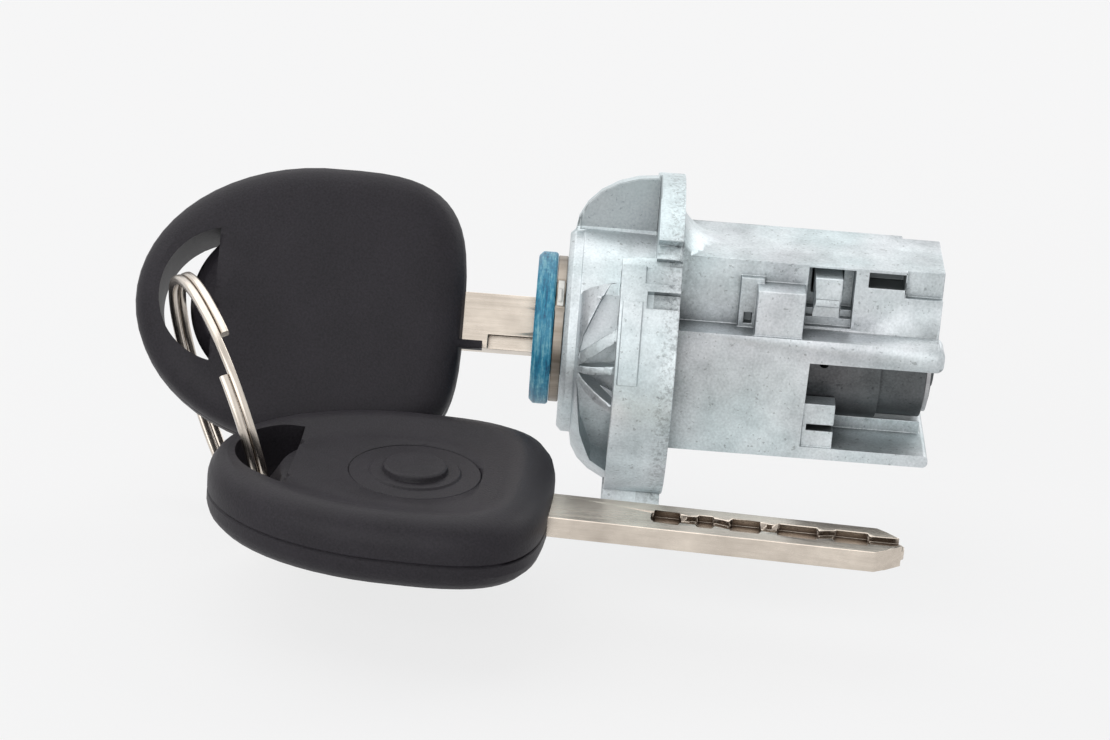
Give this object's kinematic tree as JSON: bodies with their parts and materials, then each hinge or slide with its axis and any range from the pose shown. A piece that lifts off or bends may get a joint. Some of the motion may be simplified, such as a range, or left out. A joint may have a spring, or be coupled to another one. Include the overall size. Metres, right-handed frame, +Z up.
{
  "type": "ignition switch",
  "caption": "Steering-column ignition lock: flanged die-cast housing with wafer cylinder and blue entry ring, moulded-grip key in the keyway, spare key on a split ring.",
  "frame": {"origin": "on the lock's axis, in the plane of the flange's rear face", "axes": "+X along the lock from the key to the rear, +Z up, -Y towards the camera side"},
  "size_m": [0.1252, 0.0861, 0.0559],
  "materials": {
    "cast_metal": "matte die-cast with fine speckle",
    "core_metal": "turned, dull",
    "pressed_steel": "pressed sheet",
    "spring_steel": "drawn wire",
    "bright_nickel": "bright nickel plate",
    "wafer_brass": "stamped",
    "blue_plastic": "moulded, slightly glossy",
    "grip_plastic": "fine moulded texture",
    "chip_case": "moulded"
  },
  "bodies": {
    "lock": {"housing": "cast_metal", "sleeve": "core_metal", "face_cap": "pressed_steel", "entry_ring": "blue_plastic", "catch_spring": "spring_steel"},
    "cylinder": {"plug": "core_metal", "plug_clip": "spring_steel", "tail_driver": "core_metal", "wafer_springs": "spring_steel", "wafer_1": "wafer_brass", "wafer_2": "wafer_brass", "wafer_3": "wafer_brass", "wafer_4": "wafer_brass", "wafer_5": "wafer_brass", "wafer_6": "wafer_brass", "wafer_7": "wafer_brass", "wafer_8": "wafer_brass"},
    "catch": {"catch_block": "cast_metal"},
    "key": {"key_front_shell": "grip_plastic", "key_back_shell": "grip_plastic", "key_blade": "bright_nickel", "key_cap": "grip_plastic", "key_chip": "chip_case"},
    "ring": {"split_ring": "bright_nickel"},
    "spare_key": {"spare_key_front_shell": "grip_plastic", "spare_key_back_shell": "grip_plastic", "spare_key_blade": "bright_nickel", "spare_key_cap": "grip_plastic", "spare_key_chip": "chip_case"}
  },
  "joints": [
    {"name": "plug_turn", "type": "hinge", "parent": "lock", "child": "cylinder", "pos_m": [0, 0, 0], "axis": [1, 0, 0], "range_deg": [0, 120]},
    {"name": "key_slide", "type": "slide", "parent": "cylinder", "child": "key", "axis": [-1, 0, 0], "range_m": [0, 0.046]},
    {"name": "ring_swing", "type": "hinge", "parent": "key", "child": "ring", "pos_m": [-0.07765, -0.00076, -0.0011], "axis": [0.437, -0.5162, -0.7366], "range_deg": [0, 12]},
    {"name": "spare_key_swing", "type": "hinge", "parent": "ring", "child": "spare_key", "pos_m": [-0.06032, -0.03367, -0.01399], "axis": [0.3753, -0.9269, 0.0004], "range_deg": [0, 14]},
    {"name": "catch_press", "type": "slide", "parent": "lock", "child": "catch", "axis": [0, 1, 0], "range_m": [0, 0.0015], "stiffness_N_per_m": 400, "springref_m": -0.002, "deforming": ["catch_spring"]}
  ]
}
